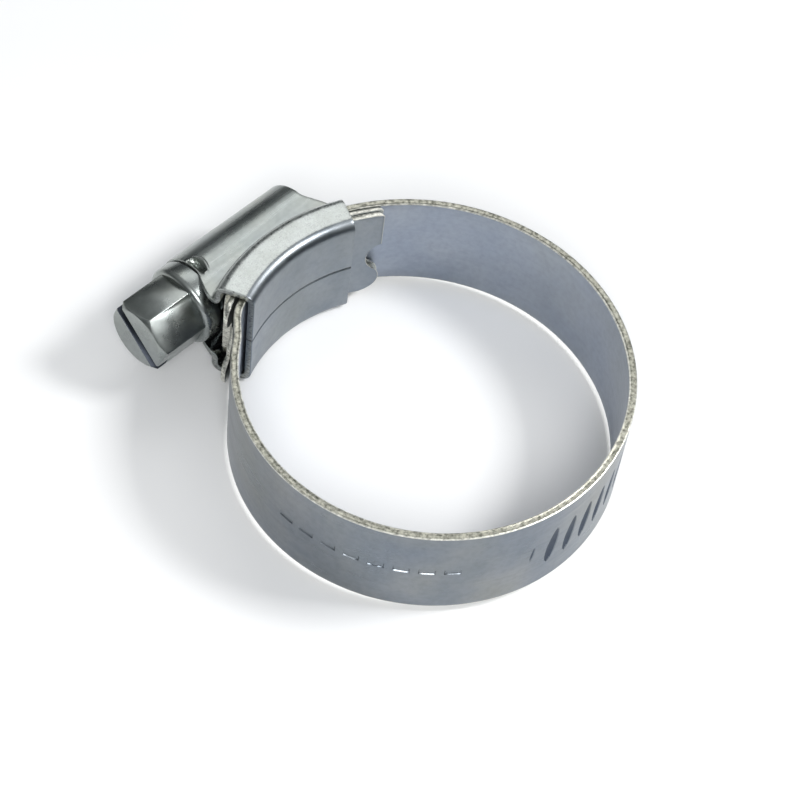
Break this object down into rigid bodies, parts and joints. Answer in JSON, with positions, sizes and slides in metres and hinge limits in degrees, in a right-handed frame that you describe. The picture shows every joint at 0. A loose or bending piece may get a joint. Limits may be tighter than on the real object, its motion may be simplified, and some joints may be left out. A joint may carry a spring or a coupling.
{
  "type": "worm-drive hose clamp",
  "caption": "All-steel worm-drive hose clamp: a folded housing, saddle, slotted band and hex-head worm screw that draws the band tight round a hose.",
  "frame": {"origin": "centre of the hose bore, halfway along the width of the band", "axes": "+Z along the hose; +Y from the bore toward the housing; the screw lies along X with its head toward -X"},
  "size_m": [0.041, 0.05, 0.0134],
  "materials": {
    "zinc_strip": "zinc plated, bright folds",
    "zinc_band": "zinc plated, satin with a faint blue tint",
    "zinc_screw": "zinc plated, darker and worn"
  },
  "bodies": {
    "housing": {"housing": "zinc_strip", "saddle": "zinc_strip", "band_anchor": "zinc_band"},
    "screw": {"worm_screw": "zinc_screw"},
    "band_tail": {"band_tail": "zinc_band"},
    "band_span_1": {"band_span_1": "zinc_band"},
    "band_span_2": {"band_span_2": "zinc_band"},
    "band_span_3": {"band_span_3": "zinc_band"},
    "band_span_4": {"band_span_4": "zinc_band"},
    "band_span_5": {"band_span_5": "zinc_band"},
    "band_span_6": {"band_span_6": "zinc_band"}
  },
  "joints": [
    {"name": "screw_turn", "type": "hinge", "parent": "housing", "child": "screw", "pos_m": [0, 0.02575, 0], "axis": [1, 0, 0], "range_deg": [0, 2880]},
    {"name": "tail_feed", "type": "hinge", "parent": "housing", "child": "band_tail", "pos_m": [0, 0.0014, 0], "axis": [0, 0, 1], "range_deg": [-0.05, 50.45]},
    {"name": "flex_1", "type": "hinge", "parent": "band_tail", "child": "band_span_1", "pos_m": [0.02039, 0.00092, 0], "axis": [0, 0, 1], "range_deg": [-15.02, 0.05]},
    {"name": "flex_2", "type": "hinge", "parent": "band_span_1", "child": "band_span_2", "pos_m": [0.01425, -0.01319, 0], "axis": [0, 0, 1], "range_deg": [-6.9, 0.05]},
    {"name": "flex_3", "type": "hinge", "parent": "band_span_2", "child": "band_span_3", "pos_m": [0, -0.019, 0], "axis": [0, 0, 1], "range_deg": [-2.22, 0.05]},
    {"name": "flex_4", "type": "hinge", "parent": "band_span_3", "child": "band_span_4", "pos_m": [-0.0125, -0.01431, 0], "axis": [0, 0, 1], "range_deg": [-4.08, 0.05]},
    {"name": "flex_5", "type": "hinge", "parent": "band_span_4", "child": "band_span_5", "pos_m": [-0.01883, -0.00256, 0], "axis": [0, 0, 1], "range_deg": [-9.47, 0.05]},
    {"name": "flex_6", "type": "hinge", "parent": "band_span_5", "child": "band_span_6", "pos_m": [-0.01587, 0.01045, 0], "axis": [0, 0, 1], "range_deg": [-13, 0.05]}
  ],
  "couplings": [
    {"joint": "tail_feed", "follows": "screw_turn", "ratio": 0.0175},
    {"joint": "flex_1", "follows": "screw_turn", "ratio": -0.0051975},
    {"joint": "flex_2", "follows": "screw_turn", "ratio": -0.00238},
    {"joint": "flex_3", "follows": "screw_turn", "ratio": -0.0007525},
    {"joint": "flex_4", "follows": "screw_turn", "ratio": -0.0014},
    {"joint": "flex_5", "follows": "screw_turn", "ratio": -0.0032725},
    {"joint": "flex_6", "follows": "screw_turn", "ratio": -0.0044975}
  ]
}
